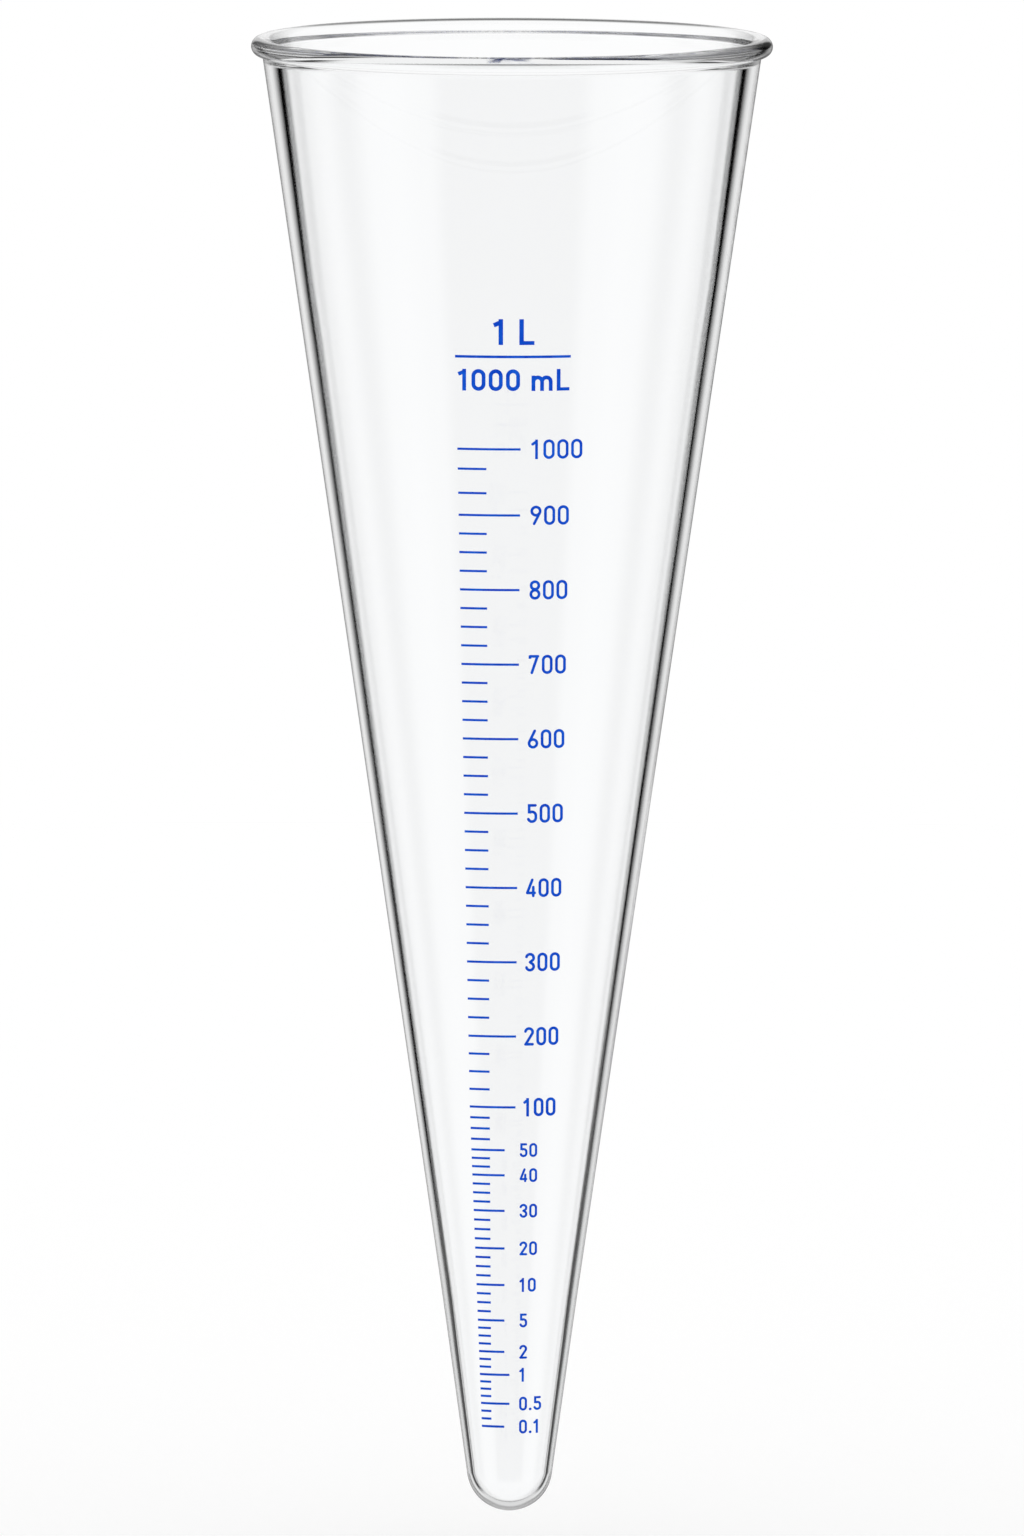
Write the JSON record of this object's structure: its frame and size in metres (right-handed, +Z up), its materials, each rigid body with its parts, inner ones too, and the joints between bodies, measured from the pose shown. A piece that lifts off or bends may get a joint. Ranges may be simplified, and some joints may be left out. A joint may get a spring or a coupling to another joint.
{
  "type": "imhoff settling cone",
  "caption": "Slim glass settling cone with a closed round tip, a beaded open mouth and a blue enamel volume scale on its front; hangs in a support ring.",
  "frame": {"origin": "on the cone's axis, at the level where a support ring meets the underside of the rim bead", "axes": "+Z up along the cone's axis, from the tip to the mouth; -Y towards the front, which carries the scale; +X to the right as the scale is read"},
  "size_m": [0.1464, 0.1464, 0.4161],
  "materials": {
    "glass": "clear, fire polished",
    "blue_enamel": "fired enamel, satin"
  },
  "bodies": {
    "root": {"glass_cone": "glass", "capacity_litre": "blue_enamel", "capacity_rule": "blue_enamel", "capacity_millilitre": "blue_enamel", "line_1000": "blue_enamel", "line_900": "blue_enamel", "line_800": "blue_enamel", "line_700": "blue_enamel", "line_600": "blue_enamel", "line_500": "blue_enamel", "line_400": "blue_enamel", "line_300": "blue_enamel", "line_200": "blue_enamel", "line_100": "blue_enamel", "line_50": "blue_enamel", "line_40": "blue_enamel", "line_30": "blue_enamel", "line_20": "blue_enamel", "line_10": "blue_enamel", "line_5": "blue_enamel", "line_2": "blue_enamel", "line_1": "blue_enamel", "line_0_5": "blue_enamel", "line_0_1": "blue_enamel", "numeral_1000": "blue_enamel", "numeral_900": "blue_enamel", "numeral_800": "blue_enamel", "numeral_700": "blue_enamel", "numeral_600": "blue_enamel", "numeral_500": "blue_enamel", "numeral_400": "blue_enamel", "numeral_300": "blue_enamel", "numeral_200": "blue_enamel", "numeral_100": "blue_enamel", "numeral_50": "blue_enamel", "numeral_40": "blue_enamel", "numeral_30": "blue_enamel", "numeral_20": "blue_enamel", "numeral_10": "blue_enamel", "numeral_5": "blue_enamel", "numeral_2": "blue_enamel", "numeral_1": "blue_enamel", "numeral_0_5": "blue_enamel", "numeral_0_1": "blue_enamel", "short_lines_100_to_1000": "blue_enamel", "short_lines_10_to_100": "blue_enamel", "short_lines_1_to_10": "blue_enamel", "short_lines_0_1_to_1": "blue_enamel"}
  },
  "joints": []
}
